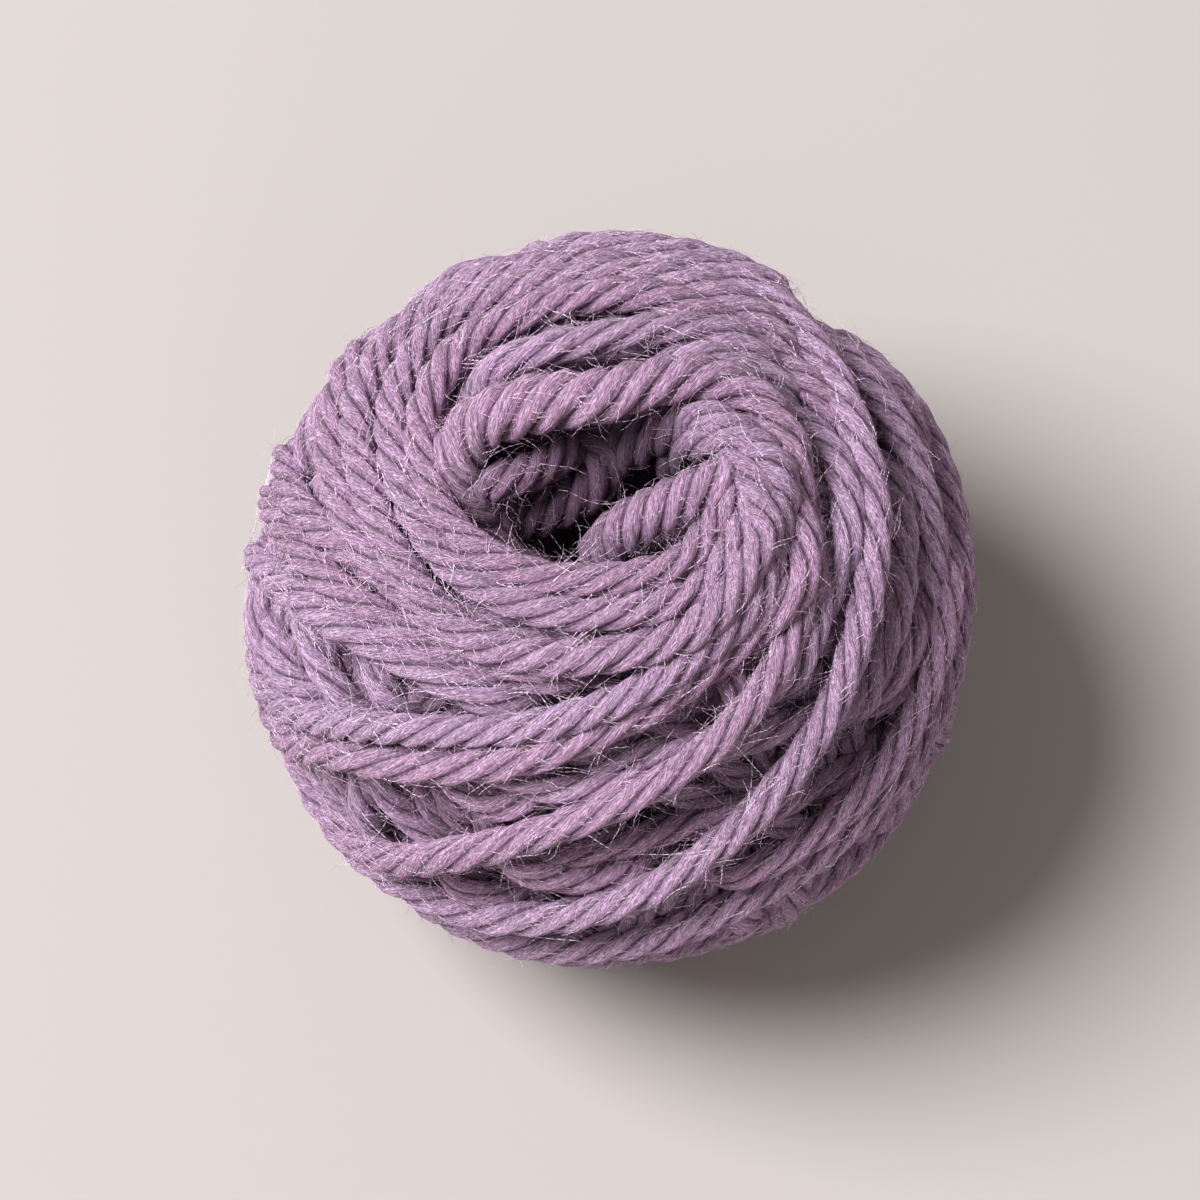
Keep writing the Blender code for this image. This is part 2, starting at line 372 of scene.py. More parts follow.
def settle(strands):
    """Finds how far out each point of each strand lies. Strands laid later lie over the earlier ones,
    each keeps near the height it likes, and none bends sharply. Gives each strand its points."""
    ways = np.vstack([s["way"] for s in strands])
    sizes = [len(s["way"]) for s in strands]
    half = np.concatenate([s["half"] for s in strands])
    owner = np.repeat(np.arange(len(strands)), sizes)
    likes = np.concatenate([s["likes"] for s in strands])
    place = np.arange(len(ways))
    first = np.repeat(np.cumsum([0] + sizes[:-1]), sizes)
    last = first + np.repeat(sizes, sizes) - 1
    closed = np.repeat([s["closed"] for s in strands], sizes)
    before = np.where(place > first, place - 1, np.where(closed, last, place))
    after = np.where(place < last, place + 1, np.where(closed, first, place))
    upper, lower, gap = close_pairs(ways, half, owner)
    limit = height_limit(ways, half)
    height = np.minimum(likes, limit)
    for _ in range(SETTLE_TURNS):
        short = np.maximum(0, gap - (height[upper] - height[lower]))
        rise = np.zeros(len(ways))
        fall = np.zeros(len(ways))
        np.maximum.at(rise, upper, short)
        np.maximum.at(fall, lower, short)
        height += RISE_SHARE * rise - FALL_SHARE * fall
        height = np.minimum(height, limit)
        for _ in range(EASE_TURNS):
            height += 0.5 * ((height[before] + height[after]) / 2 - height)
        height += HOME_SHARE * (likes - height)
    height = np.minimum(height, limit)
    for s, start, size in zip(strands, np.cumsum([0] + sizes[:-1]), sizes):
        own = height[start : start + size].copy()
        if not s["closed"]:
            along = np.arange(size) * s["step"]
            to_head = along if not len(s["head"]) else along + SINK_LENGTH
            to_tail = along[::-1] if not len(s["tail"]) else along[::-1] + SINK_LENGTH
            own -= SINK_DEPTH * (1 - smooth_step(np.minimum(to_head, to_tail) / SINK_LENGTH))
        s["points"] = CENTRE + s["way"] * own[:, None]
        if len(s["head"]) or len(s["tail"]):
            join_ends(s)


def ring_way(turn, lean, off, step):
    """The directions of one closed turn, with a slow waver to the sides."""
    count = int(round(2 * math.pi * ROUTE_RADIUS * math.sin(math.radians(off)) / step))
    axis = direction(turn, lean)
    side = direction(turn, lean + 90)
    third = np.cross(axis, side)
    phase = np.linspace(0, 2 * math.pi, count, endpoint=False)
    swing = sum(
        RANDOM.normal(0, 0.7) * np.cos(k * phase + RANDOM.uniform(0, 6.28)) / k**0.5 for k in (2, 3, 5)
    )
    reach = np.radians(off + swing)[:, None]
    round_axis = np.cos(phase)[:, None] * side + np.sin(phase)[:, None] * third
    return np.cos(reach) * axis + np.sin(reach) * round_axis


def clear_of_hollow(way):
    """A closed turn as it is, or, where it would cross the hollow, as an open one that stops at it."""
    inside = mouth_measure(way) < HOLLOW_SHARE
    if not inside.any():
        return way, True
    leaves = np.flatnonzero(inside & ~np.roll(inside, -1))[0] + 1
    return np.roll(way, -leaves, axis=0)[~np.roll(inside, -leaves)], False


def route_way(route, step):
    """The directions of an open strand along its route."""
    bearing, polar = np.array(route, float).T
    line = evenly(unit(curve_through(direction(bearing, polar))) * ROUTE_RADIUS, step)
    return unit(line)


def strand(group, way, thickness, likes, step, closed):
    """One strand before it is settled. A tuple of thicknesses is spread evenly along it."""
    knots = thickness if isinstance(thickness, tuple) else (thickness, thickness)
    half = HALF * np.interp(np.linspace(0, 1, len(way)), np.linspace(0, 1, len(knots)), knots)
    return {
        "group": group, "way": way, "half": half, "likes": likes, "step": step, "closed": closed,
        "head": (), "tail": (),
    }


def wind():
    """Every strand of the ball, in winding order, laid and settled."""
    spacing = math.degrees(YARN / ROUTE_RADIUS)
    strands = []

    def closed_turns(group, rows, step, level, seen_level):
        for row in rows:
            band = dict(zip(TURN_COLUMNS, row))
            for k in range(band["count"]):
                whole = ring_way(band["turn"], band["lean"], band["off"] + spacing * k, step)
                way, closed = clear_of_hollow(whole)
                seen = smooth_step((way @ OPEN_SIDE - 0.15) / 0.45)
                strands.append(strand(group, way, 1.0, level + (seen_level - level) * seen, step, closed))

    def open_routes(rows, level):
        for _, thickness, route, *ends in rows:
            way = route_way(route, STEP)
            strands.append(strand("over", way, thickness, np.full(len(way), level), STEP, False))
            strands[-1].update(zip(("head", "tail"), ends))

    closed_turns("deep", DEEP_TURNS, DEEP_STEP, DEEP_LEVEL, DEEP_LEVEL)
    closed_turns("under", UNDER_TURNS, STEP, TOP_LEVEL, UNDER_LEVEL)
    closed_turns("side", SIDE_TURNS, STEP, TOP_LEVEL, UNDER_LEVEL)
    open_routes(UNDER_ROUTES, BETWEEN_LEVEL)
    closed_turns("bottom", BOTTOM_TURNS, STEP, TOP_LEVEL, UNDER_LEVEL)
    open_routes(OVER_ROUTES, TOP_LEVEL)
    settle(strands)
    return strands


def wall_coil():
    """The coil that lines the hollow: one strand that spirals down along the hollow's oval sections."""
    down = np.linspace(0, WALL_TURNS, WALL_TURNS * WALL_POINTS)
    points = []
    for turns in down:
        section = hollow_section(WALL_TOP - WALL_PITCH * turns)
        bearing = math.tau * turns
        across = bearing - math.radians(section["turn"])
        out = WALL_OUT + WALL_SWAY * math.sin(3 * bearing + turns)
        reach = out + 1 / math.hypot(math.cos(across) / section["long"], math.sin(across) / section["wide"])
        points.append((
            section["at_x"] + reach * math.cos(bearing),
            section["at_y"] + reach * math.sin(bearing),
            section["height"] + WALL_BOB * math.sin(2 * bearing + 1.3 * turns),
        ))
    return evenly(np.array(points), STEP)


# ================================================================ meshes
def strand_frames(points, closed):
    """Along, out and side directions at each point of a strand."""
    if closed:
        along = np.roll(points, -1, axis=0) - np.roll(points, 1, axis=0)
    else:
        along = np.gradient(points, axis=0)
    along = unit(along)
    out = points - CENTRE
    out = unit(out - (out * along).sum(axis=1, keepdims=True) * along)
    return along, out, np.cross(along, out)


def lobe_outline(points_per_lobe):
    """Angle, radius and crest height of the section's points: a ring of touching plies, softened."""
    count = PLIES * points_per_lobe
    angle = np.arange(count) * math.tau / count
    within = (angle * PLIES / math.tau + 0.5) % 1.0 - 0.5
    offset = within * math.tau / PLIES
    bow = np.maximum(0, PLY_RADIUS**2 - (PLY_OFFSET * np.sin(offset)) ** 2)
    radius = PLY_OFFSET * np.cos(offset) + np.sqrt(bow)
    crest = (radius - radius.min()) / (radius.max() - radius.min())
    return angle, radius, crest


def ply_turns(n, step, half, closed, pitch):
    """How far the plies have turned at each point. A thicker strand is slacker, and turns more."""
    turned = np.cumsum(math.tau * step / pitch * (half / HALF) ** SLACK_TURNS)
    if closed:
        whole = max(1, round(turned[-1] / math.tau)) * math.tau
        turned = np.arange(n) / n * whole
    return turned


def strand_mesh(name, strands, points_per_lobe, skin=None, pitch=PLY_PITCH):
    """One mesh of many strands, with where each point lies in the wool kept on it."""
    angle, radius, crest = lobe_outline(points_per_lobe)
    round_count = len(angle)
    verts, faces, wool, crests, shade, rows = [], [], [], [], [], []
    normals, alongs = [], []
    start = 0
    for points, half, closed in strands:
        n = len(points)
        along, out, side = strand_frames(points, closed)
        step = np.linalg.norm(points[1] - points[0])
        at = np.arange(n) * step
        first = RANDOM.uniform(0, math.tau)
        twist = first - ply_turns(n, step, half, closed, pitch * RANDOM.uniform(0.92, 1.1))
        swell = 1 + waver(n, step, 9.0, 0.05)
        if closed:
            blend = smooth_step(np.arange(n) / (0.1 * n))
            swell = swell * blend + swell[-1] * (1 - blend)
        else:
            ends = np.minimum(np.arange(n), np.arange(n)[::-1]) * step
            swell = swell * (0.05 + 0.95 * smooth_step(ends / 4.0))
        phi = angle[None, :] + twist[:, None]
        rough = 1 + RANDOM.normal(0, ROUGHNESS, (n, round_count))
        reach = half[:, None] * radius[None, :] * swell[:, None] * rough
        outwards = out[:, None] * (np.cos(phi) * reach)[..., None]
        sideways = side[:, None] * (np.sin(phi) * reach)[..., None]
        ring = outwards + sideways
        verts.append((points[:, None] + ring).reshape(-1, 3))
        normals.append(unit(ring).reshape(-1, 3))
        alongs.append(np.repeat(along, round_count, axis=0))
        fibre = np.stack(
            [
                np.broadcast_to(np.cos(angle) * radius * HALF, (n, round_count)),
                np.broadcast_to(np.sin(angle) * radius * HALF, (n, round_count)),
                np.broadcast_to(at[:, None], (n, round_count)),
            ],
            axis=-1,
        ) + RANDOM.uniform(0, 400, 3)
        wool.append(fibre.reshape(-1, 3))
        crests.append(np.tile(crest, n))
        shade.append(np.full(n * round_count, RANDOM.uniform(0, 1)))
        i = np.arange(n if closed else n - 1)[:, None]
        j = np.arange(round_count)[None, :]
        a = i * round_count + j
        b = i * round_count + (j + 1) % round_count
        c = ((i + 1) % n) * round_count + (j + 1) % round_count
        d = ((i + 1) % n) * round_count + j
        faces.append(np.stack([a, d, c, b], axis=-1).reshape(-1, 4) + start)
        rows.append(n if closed else n - 1)
        start += n * round_count
    verts = np.vstack(verts)
    verts[:, 2] = np.maximum(verts[:, 2], FLOOR_GAP)
    mesh = mesh_from(name, verts * MM, np.vstack(faces))
    add_values(mesh, "outward", outward(verts), "FLOAT")
    add_values(mesh, "wool_at", np.vstack(wool), "FLOAT_VECTOR")
    add_values(mesh, "crest", np.concatenate(crests), "FLOAT")
    add_values(mesh, "shade", np.concatenate(shade), "FLOAT")
    add_strip_map(mesh, rows, round_count)
    if skin is not None:
        skin.append((verts, np.vstack(normals), np.vstack(alongs)))
    return mesh


def mesh_from(name, verts, faces):
    """A mesh from arrays. Each row of faces is one face."""
    mesh = bpy.data.meshes.new(name)
    mesh.vertices.add(len(verts))
    mesh.vertices.foreach_set("co", verts.astype(np.float32).ravel())
    mesh.loops.add(faces.size)
    mesh.loops.foreach_set("vertex_index", faces.astype(np.int32).ravel())
    mesh.polygons.add(len(faces))
    mesh.polygons.foreach_set("loop_start", np.arange(len(faces), dtype=np.int32) * faces.shape[1])
    mesh.update(calc_edges=True)
    mesh.validate()
    mesh.shade_smooth()
    return mesh


def outward(verts):
    """How far out in the ball each point lies: 0 deep down, 1 at its surface."""
    far = np.linalg.norm(verts - CENTRE, axis=1)
    return np.clip((far - SHADED_RADIUS) / (LIT_RADIUS - SHADED_RADIUS), 0, 1)


def add_values(mesh, name, values, kind):
    """Keeps one value for each point of the mesh."""
    layer = mesh.attributes.new(name, kind, "POINT")
    layer.data.foreach_set("vector" if kind == "FLOAT_VECTOR" else "value", values.astype(np.float32).ravel())


STRIP_LENGTH = 96  # steps of a strand in one row of the map


def add_strip_map(mesh, rows, round_count):
    """A map where each strand lies in straight strips that don't overlap."""
    strips = sum(-(-n // STRIP_LENGTH) for n in rows)
    corners = []
    strip = 0
    for n in rows:
        i = np.arange(n)
        row = strip + i // STRIP_LENGTH
        x = i % STRIP_LENGTH
        j = np.arange(round_count)
        left = np.broadcast_to((x / STRIP_LENGTH)[:, None], (n, round_count))
        right = np.broadcast_to(((x + 1) / STRIP_LENGTH)[:, None], (n, round_count))
        low = (row[:, None] + 0.04 + 0.92 * j / round_count) / strips
        high = (row[:, None] + 0.04 + 0.92 * (j + 1) / round_count) / strips
        round_it = ((left, low), (right, low), (right, high), (left, high))
        quad = np.stack([np.stack(corner, -1) for corner in round_it], axis=2)
        corners.append(quad.reshape(-1, 2))
        strip += -(-n // STRIP_LENGTH)
    layer = mesh.uv_layers.new(name="OFBake")
    layer.uv.foreach_set("vector", np.vstack(corners).astype(np.float32).ravel())


def show(name, mesh, material, replaces=False):
    """Puts a piece of the ball in the scene, on the ball's body."""
    piece = bpy.data.objects.new(name, mesh)
    mesh.materials.append(material)
    bpy.context.scene.collection.objects.link(piece)
    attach(piece, "root")
    if replaces:
        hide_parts("wound_ball")
    return piece


# ================================================================ materials
# Painted shade and light on the wool: (position, colour). The groove tones paint shade in the grooves and
# light on the ply crests, and the depth tones paint shade on wool deep in the ball.
GROOVE_SHADE_AND_CREST_LIGHT = ((0.0, (0.22, 0.15, 0.20)), (0.36, (0.88, 0.86, 0.88)), (1.0, (1.12, 1.12, 1.12)))
DEPTH_SHADE_TONES = ((0.0, (0.30, 0.24, 0.28)), (0.5, (0.64, 0.60, 0.63)), (1.0, (1.03, 1.03, 1.03)))
# Dark, middle and light of the wool, the same darker for the core as painted shade, and the range of the
# fibres.
MAUVE_WOOL = ((0.28, 0.145, 0.25), (0.62, 0.405, 0.595), (0.95, 0.755, 0.95))
CORE_WOOL_PAINTED_SHADE = ((0.26, 0.14, 0.24), (0.52, 0.34, 0.50), (0.76, 0.58, 0.74))
LOOSE_FIBRES = ((0.50, 0.34, 0.48), (0.88, 0.71, 0.86))
PALE_HAIRS = ((0.72, 0.66, 0.66), (0.90, 0.86, 0.84))
FLOOR_COLOUR = (0.50, 0.465, 0.44, 1)
BUMP_HEIGHT = 0.00045  # in metres


def new_material(name):
    """An empty material, with its nodes and links."""
    material = bpy.data.materials.new(name)
    material.use_nodes = True
    return material, material.node_tree.nodes, material.node_tree.links


def attribute(nodes, name):
    """Reads a value that is kept on the mesh."""
    node = nodes.new("ShaderNodeAttribute")
    node.attribute_name = name
    return node


def noise(nodes, links, vector, scale, detail, roughness=0.55):
    """Soft random spots."""
    node = nodes.new("ShaderNodeTexNoise")
    node.inputs["Scale"].default_value = scale
    node.inputs["Detail"].default_value = detail
    node.inputs["Roughness"].default_value = roughness
    links.new(vector, node.inputs["Vector"])
    return node


def stretched(nodes, links, vector, scale):
    """The same coordinates at another scale along each axis."""
    node = nodes.new("ShaderNodeMapping")
    node.inputs["Scale"].default_value = scale
    links.new(vector, node.inputs["Vector"])
    return node.outputs["Vector"]


def ramp(nodes, links, value, stops):
    """Turns a value into a colour. Each stop is (position, colour)."""
    node = nodes.new("ShaderNodeValToRGB")
    elements = node.color_ramp.elements
    elements[0].position, elements[0].color = stops[0][0], (*stops[0][1], 1)
    elements[1].position, elements[1].color = stops[-1][0], (*stops[-1][1], 1)
    for position, colour in stops[1:-1]:
        elements.new(position).color = (*colour, 1)
    links.new(value, node.inputs["Fac"])
    return node.outputs["Color"]


def mixed(nodes, links, kind, share, first, second):
    """Mixes two colours. share is a number or a socket."""
    node = nodes.new("ShaderNodeMix")
    node.data_type = "RGBA"
    node.blend_type = kind
    if isinstance(share, float):
        node.inputs[0].default_value = share
    else:
        links.new(share, node.inputs[0])
    links.new(first, node.inputs[6])
    links.new(second, node.inputs[7])
    return node.outputs[2]


def tilted_fibres(nodes, links, wool, tilt, scale):
    """Thin pale lines along the wool, a little off the way the plies run."""
    node = nodes.new("ShaderNodeMapping")
    node.inputs["Rotation"].default_value = tilt
    node.inputs["Scale"].default_value = scale
    links.new(wool, node.inputs["Vector"])
    value = noise(nodes, links, node.outputs["Vector"], 1.0, 2.0, 0.6).outputs["Fac"]
    edge, line = (0.0, 0.0, 0.0), (1.0, 1.0, 1.0)
    return ramp(nodes, links, value, ((0.40, edge), (0.47, line), (0.53, line), (0.60, edge)))


def wool_material(name, dark, middle, light):
    """Heathered plied wool: tangled fibres along the plies, painted shade in the grooves and painted light on
    the ply crests, painted shade on wool deep in the ball, soft sheen and fine bump.
    """
    material, nodes, links = new_material(name)
    shader = nodes["Principled BSDF"]
    wool = attribute(nodes, "wool_at").outputs["Vector"]
    crest = attribute(nodes, "crest").outputs["Fac"]
    shade = attribute(nodes, "shade").outputs["Fac"]
    fine = noise(nodes, links, stretched(nodes, links, wool, (7.0, 7.0, 1.7)), 1.0, 4.0, 0.85).outputs["Fac"]
    broad = noise(nodes, links, stretched(nodes, links, wool, (1.5, 1.5, 0.16)), 1.0, 2.0).outputs["Fac"]
    lines_a = tilted_fibres(nodes, links, wool, (0.30, 0.18, 0.0), (3.4, 3.4, 0.45))
    lines_b = tilted_fibres(nodes, links, wool, (-0.35, 0.28, 1.1), (4.2, 4.2, 0.55))
    streaks = ramp(nodes, links, fine, ((0.36, dark), (0.50, middle), (0.63, light)))
    strayed = mixed(nodes, links, "LIGHTEN", 1.0, lines_a, lines_b)
    lift = ramp(nodes, links, strayed, ((0.0, (0.86, 0.85, 0.86)), (1.0, (1.28, 1.28, 1.28))))
    colour = mixed(nodes, links, "MULTIPLY", 1.0, streaks, lift)
    heather = ramp(nodes, links, broad, ((0.30, (0.86, 0.80, 0.84)), (0.70, (1.10, 1.10, 1.12))))
    colour = mixed(nodes, links, "MULTIPLY", 1.0, colour, heather)
    tone = ramp(nodes, links, shade, ((0.0, (0.94, 0.87, 0.90)), (1.0, (1.03, 1.05, 1.08))))
    colour = mixed(nodes, links, "MULTIPLY", 1.0, colour, tone)
    specks = noise(nodes, links, wool, 4.5, 3.0, 0.7).outputs["Fac"]
    speckle = ramp(nodes, links, specks, ((0.36, (0.72, 0.69, 0.71)), (0.62, (1.16, 1.16, 1.16))))
    colour = mixed(nodes, links, "MULTIPLY", 1.0, colour, speckle)
    # painted shade in the grooves between the plies, and painted light on their crests
    groove_shade_and_crest_light = ramp(nodes, links, crest, GROOVE_SHADE_AND_CREST_LIGHT)
    colour = mixed(nodes, links, "MULTIPLY", 1.0, colour, groove_shade_and_crest_light)
    far = attribute(nodes, "outward").outputs["Fac"]
    # painted shade: wool deeper in the ball is darkened by how far out it lies
    painted_depth_shade = ramp(nodes, links, far, DEPTH_SHADE_TONES)
    colour = mixed(nodes, links, "MULTIPLY", 1.0, colour, painted_depth_shade)
    links.new(colour, shader.inputs["Base Color"])
    shader.inputs["Roughness"].default_value = 0.92
    shader.inputs["Specular IOR Level"].default_value = 0.2
    shader.inputs["Sheen Weight"].default_value = 0.12
    shader.inputs["Sheen Roughness"].default_value = 0.45
    height = nodes.new("ShaderNodeMath")
    height.operation = "MULTIPLY_ADD"
    links.new(strayed, height.inputs[0])
    height.inputs[1].default_value = 0.8
    links.new(fine, height.inputs[2])
    bump = nodes.new("ShaderNodeBump")
    bump.inputs["Strength"].default_value = 1.0
    bump.inputs["Distance"].default_value = BUMP_HEIGHT
    links.new(height.outputs["Value"], bump.inputs["Height"])
    links.new(bump.outputs["Normal"], shader.inputs["Normal"])
    return material


def fibre_material(name, low, high):
    """Single loose fibres, each with its own tint, with painted shade on the ones deep in the ball."""
    material, nodes, links = new_material(name)
    shader = nodes["Principled BSDF"]
    tint = attribute(nodes, "tint").outputs["Fac"]
    colour = ramp(nodes, links, tint, ((0.0, low), (1.0, high)))
    # painted shade: fibres deeper in the ball are darkened
    far = attribute(nodes, "outward").outputs["Fac"]
    painted_depth_shade = ramp(nodes, links, far, ((0.0, (0.40, 0.36, 0.38)), (1.0, (1.0, 1.0, 1.0))))
    links.new(mixed(nodes, links, "MULTIPLY", 1.0, colour, painted_depth_shade), shader.inputs["Base Color"])
    shader.inputs["Roughness"].default_value = 0.85
    shader.inputs["Specular IOR Level"].default_value = 0.12
    shader.inputs["Sheen Weight"].default_value = 0.1
    return material


def floor_material():
    """A plain, pale, matt floor."""
    material, nodes, _ = new_material("pale_floor")
    shader = nodes["Principled BSDF"]
    shader.inputs["Base Color"].default_value = FLOOR_COLOUR
    shader.inputs["Roughness"].default_value = 0.9
    shader.inputs["Specular IOR Level"].default_value = 0.1
    return material


# ================================================================ fibres
def fibre_mesh(name, lines, flats, half_width):
    """Thin fibres, one for each row of lines: a chain of long narrow triangles, one for each step."""
    count, points = lines.shape[:2]
    across = flats[:, None] * np.linspace(1.0, 0.45, points)[None, :, None] * half_width[:, None, None]
    both = np.stack([lines - across, lines + across], axis=2).reshape(count, 2 * points, 3)[:, :-1]
    each = 2 * points - 1
    verts = both.reshape(-1, 3)
    verts[:, 2] = np.maximum(verts[:, 2], FLOOR_GAP)
    k = 2 * np.arange(points - 1)
    triangles = np.stack([k, k + 1, k + 2], axis=-1)
    faces = (triangles[None] + (np.arange(count) * each)[:, None, None]).reshape(-1, 3)
    mesh = mesh_from(name, verts * MM, faces)
    add_values(mesh, "tint", np.repeat(RANDOM.uniform(0, 1, count), each), "FLOAT")
    add_values(mesh, "outward", outward(verts), "FLOAT")
    add_cell_map(mesh, count, points)
    return mesh


def add_cell_map(mesh, count, points):
    """A map where each fibre has a small cell of its own."""
    side = math.ceil(math.sqrt(count))
    cell = np.arange(count)
    x0, y0 = (cell % side) / side, (cell // side) / side
    k = np.arange(2 * points - 1)
    x = x0[:, None] + (0.1 + 0.8 * (k // 2) / (points - 1))[None] / side
    y = y0[:, None] + np.where(k % 2, 0.8, 0.2)[None] / side
    at = np.stack([x, y], axis=-1)
    first = 2 * np.arange(points - 1)
    corners = at[:, np.stack([first, first + 1, first + 2], axis=-1)]
    layer = mesh.uv_layers.new(name="OFBake")
    layer.uv.foreach_set("vector", corners.astype(np.float32).ravel())


def outermost(skin):
    """Which points of the skin have no other strand over them."""
    away = skin - CENTRE
    far = np.linalg.norm(away, axis=1)
    polar = np.degrees(np.arccos(np.clip(away[:, 2] / far, -1, 1)))
    bearing = np.degrees(np.arctan2(away[:, 1], away[:, 0])) % 360
    rows = (polar / COVER_CELL).astype(int)
    columns = (bearing / COVER_CELL * np.sin(np.radians(rows * COVER_CELL + COVER_CELL / 2))).astype(int)
    width = int(360 / COVER_CELL) + 1
    cell = rows * width + columns
    top = np.zeros(width * (int(180 / COVER_CELL) + 1))
    np.maximum.at(top, cell, far)
    return far > top[cell] - COVER_DEPTH


def curls(root, heading, length, curl, held, points):
    """The lines of fibres that leave their roots along heading and curl as they go. held is how much
    of their way out of the ball they lose at each step."""
    count = len(root)
    bend = unit(RANDOM.normal(0, 1, (count, 3)))
    point = root
    lines = [point]
    for _ in range(points - 1):
        bend = unit(bend + 0.9 * RANDOM.normal(0, 1, (count, 3)))
        heading = unit(heading + curl[:, None] * bend / (points - 1))
        away = unit(point - CENTRE)
        rising = (heading * away).sum(axis=1, keepdims=True)
        heading = unit(heading - held[:, None] * np.maximum(rising, 0) * away)
        point = point + heading * (length / (points - 1))[:, None]
        lines.append(point)
    return np.stack(lines, axis=1)


def fuzz(name, skins, count):
    """Loose fibres: most lie close along their strand, and some stand off it and curl."""
    points, normals, alongs = (np.vstack(part) for part in zip(*skins))
    open_points = np.flatnonzero(outermost(points))
    pick = open_points[RANDOM.integers(0, len(open_points), count)]
    root, normal, along = points[pick] - ROOT_DEPTH * normals[pick], normals[pick], alongs[pick]
    root = root + along * RANDOM.uniform(-0.6, 0.6, count)[:, None]
    sense = np.where(RANDOM.uniform(0, 1, count) < 0.5, -1.0, 1.0)[:, None]
    side = np.cross(along, normal)
    stand = np.abs(RANDOM.normal(0, STAND_SPREAD, count))[:, None] + LEAST_STAND
    heading = unit(sense * along + normal * stand + side * RANDOM.normal(0.0, 0.6, count)[:, None])
    length = np.minimum(RANDOM.gamma(3.0, 0.95, count) + 1.0, LONGEST_FIBRE)
    curl = RANDOM.uniform(0.8, 3.2, count)
    held = np.where(RANDOM.uniform(0, 1, count) < LYING_SHARE, 0.75, 0.1)
    length = np.where(held > 0.5, length, 0.5 * length)
    lines = curls(root, heading, length, curl, held, FUZZ_POINTS)
    flat = unit(np.cross(heading, normal + 0.7 * RANDOM.normal(0, 1, (count, 3))))
    return fibre_mesh(name, lines, flat, FUZZ_HALF_WIDTH * RANDOM.uniform(0.7, 1.3, count))


def guard_hairs(name, skins):
    """A few long, stiff, pale hairs that lie over the turns."""
    points, normals, alongs = (np.vstack(part) for part in zip(*skins))
    open_points = np.flatnonzero(outermost(points) & (points[:, 2] > HAIRS_FROM))
    pick = open_points[RANDOM.integers(0, len(open_points), GUARD_HAIRS)]
    normal, along = normals[pick], alongs[pick]
    side = np.cross(along, normal)
    forward = along * RANDOM.normal(0, 1, (GUARD_HAIRS, 1))
    aside = side * RANDOM.normal(0, 1, (GUARD_HAIRS, 1))
    heading = unit(forward + aside + 0.35 * normal)
    length = RANDOM.uniform(4, 10, GUARD_HAIRS)
    held = np.full(GUARD_HAIRS, 0.35)
    curl = RANDOM.uniform(0.3, 1.2, GUARD_HAIRS)
    lines = curls(points[pick], heading, length, curl, held, HAIR_POINTS)
    flat = unit(np.cross(heading, normal))
    return fibre_mesh(name, lines, flat, np.full(GUARD_HAIRS, HAIR_HALF_WIDTH))


# ================================================================ the stage
FLOOR_WIDTH = 6.0  # in metres


def floor():
    """The plain floor the ball stands on. It is not part of the object."""
    half = FLOOR_WIDTH / 2
    mesh = bpy.data.meshes.new("floor")
    corners = [(-half, -half, 0), (half, -half, 0), (half, half, 0), (-half, half, 0)]
    mesh.from_pydata(corners, [], [(0, 1, 2, 3)])
    mesh.materials.append(floor_material())
    piece = bpy.data.objects.new("floor", mesh)
    bpy.context.scene.collection.objects.link(piece)


def area_light(name, place, target, size, power, colour):
    """A round soft lamp at this place, aimed at the target, in metres and watts."""
    light = bpy.data.lights.new(name, "AREA")
    light.shape = "DISK"
    light.size = size
    light.energy = power
    light.color = colour
    lamp = bpy.data.objects.new(name, light)
    lamp.location = place
    lamp.rotation_euler = (Vector(target) - Vector(place)).to_track_quat("-Z", "Y").to_euler()
    bpy.context.scene.collection.objects.link(lamp)


def lights():
    """A large window at the left, a weak fill from the front, and a soft room."""
    area_light("window", (-1.20, 0.08, 1.85), (0, 0, 0.03), 1.20, 76.0, (0.98, 0.975, 1.0))
    area_light("fill", (0.1, -0.7, 0.9), (0, 0, 0.03), 0.9, 1.2, (1.0, 0.96, 0.92))
    world = bpy.data.worlds.new("soft_room")
    world.use_nodes = True
    world.node_tree.nodes["Background"].inputs["Color"].default_value = (1.0, 0.93, 0.90, 1)
    world.node_tree.nodes["Background"].inputs["Strength"].default_value = 0.22
    bpy.context.scene.world = world


CAMERA_RISE = math.radians(68.0)
CAMERA_DISTANCE = 0.571
CAMERA_LENS = 139.3
CAMERA_SENSOR = 36.0
CAMERA_ASIDE = 0.00135  # the ball shows a little right of the picture's middle


def colours():
    """Plain colours: the light's own values, with no film curve over them."""
    bpy.context.scene.view_settings.view_transform = "Standard"
    bpy.context.scene.view_settings.look = "None"


def camera():
    """A long lens that looks down on the ball from in front."""
    data = bpy.data.cameras.new("camera")
    data.lens = CAMERA_LENS
    data.sensor_width = CAMERA_SENSOR
    data.dof.use_dof = False
    data.clip_start = 0.01
    eye = bpy.data.objects.new("camera", data)
    middle = Vector(CENTRE) * MM
    looks = Vector((0, math.cos(CAMERA_RISE), -math.sin(CAMERA_RISE)))
    eye.location = middle - looks * CAMERA_DISTANCE + Vector((-CAMERA_ASIDE, 0, 0))
    eye.rotation_euler = looks.to_track_quat("-Z", "Y").to_euler()
    bpy.context.scene.collection.objects.link(eye)
    bpy.context.scene.camera = eye


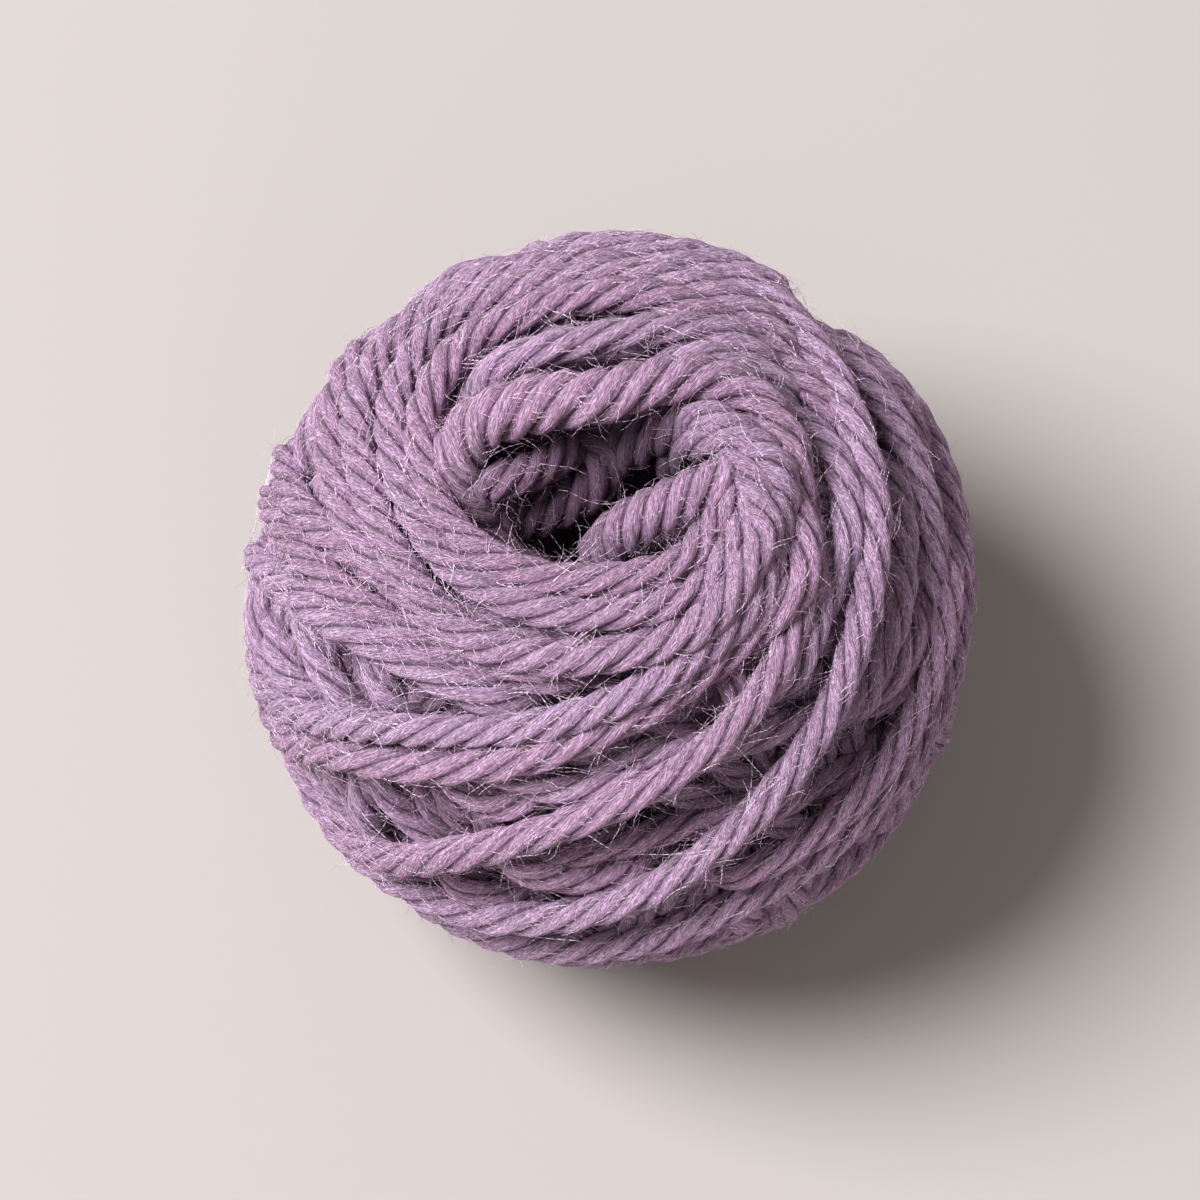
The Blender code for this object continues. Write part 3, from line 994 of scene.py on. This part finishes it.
# ================================================================ the ball
def core_mesh():
    """The wool under everything, as a closed skin, painted dark as shade."""
    rings, segments = CORE_RINGS, CORE_SEGMENTS
    polar = np.linspace(0.6, 179.4, rings)
    bearing = np.arange(segments) * 360 / segments
    grid = direction(*np.meshgrid(bearing, polar))
    flat = grid.reshape(-1, 3)
    radius = core_radius(flat) - 0.6
    verts = CENTRE + flat * radius[:, None]
    verts[:, 2] = np.maximum(verts[:, 2], 2.0)
    i = np.arange(rings - 1)[:, None]
    j = np.arange(segments)[None, :]
    a = i * segments + j
    b = i * segments + (j + 1) % segments
    faces = np.stack([a, a + segments, b + segments, b], axis=-1).reshape(-1, 4)
    mesh = mesh_from("core", verts * MM, faces)
    add_values(mesh, "wool_at", verts, "FLOAT_VECTOR")
    # painted shade: one low crest value all over, so the groove tones darken the whole core
    add_values(mesh, "crest", np.full(len(verts), 0.2), "FLOAT")
    add_values(mesh, "shade", np.full(len(verts), 0.2), "FLOAT")
    add_values(mesh, "outward", outward(verts), "FLOAT")
    return mesh


def ball():
    """Makes every piece of the ball and puts it in the scene."""
    wool = wool_material("mauve_wool", *MAUVE_WOOL)
    core_wool_painted_shade = wool_material("core_wool_painted_shade", *CORE_WOOL_PAINTED_SHADE)
    strands = wind()
    groups = {}
    for s in strands:
        groups.setdefault(s["group"], []).append((s["points"], s["half"], s["closed"]))
    free = [(wall_coil(), 1.0)]
    free += [(evenly(curve_through(points), STEP), thickness) for _, thickness, points in HOLLOW_STRANDS]
    inner = [(points, np.full(len(points), HALF * thickness), False) for points, thickness in free]
    skins = []
    show("turns", strand_mesh("turns", groups["over"], LOBE_POINTS, skins), wool, replaces=True)
    show("turns_between", strand_mesh("turns_between", groups["under"], LOBE_POINTS, skins), wool)
    show("turns_aside", strand_mesh("turns_aside", groups["side"], LOBE_POINTS, skins), wool)
    show("turns_below", strand_mesh("turns_below", groups["bottom"], LOBE_POINTS, skins), wool)
    show("turns_deep", strand_mesh("turns_deep", groups["deep"], DEEP_LOBE_POINTS), wool)
    show("hollow_turns", strand_mesh("hollow_turns", inner, LOBE_POINTS, skins, LOOSE_PITCH), wool)
    show("core", core_mesh(), core_wool_painted_shade)
    hairs = fibre_material("loose_fibres", *LOOSE_FIBRES)
    for k in range(FUZZ_PIECES):
        name = f"fuzz_{k + 1}"
        show(name, fuzz(name, skins, FUZZ_COUNT // FUZZ_PIECES), hairs)
    pale = fibre_material("pale_hairs", *PALE_HAIRS)
    show("long_hairs", guard_hairs("long_hairs", skins), pale)


ball()
floor()
lights()
colours()
camera()
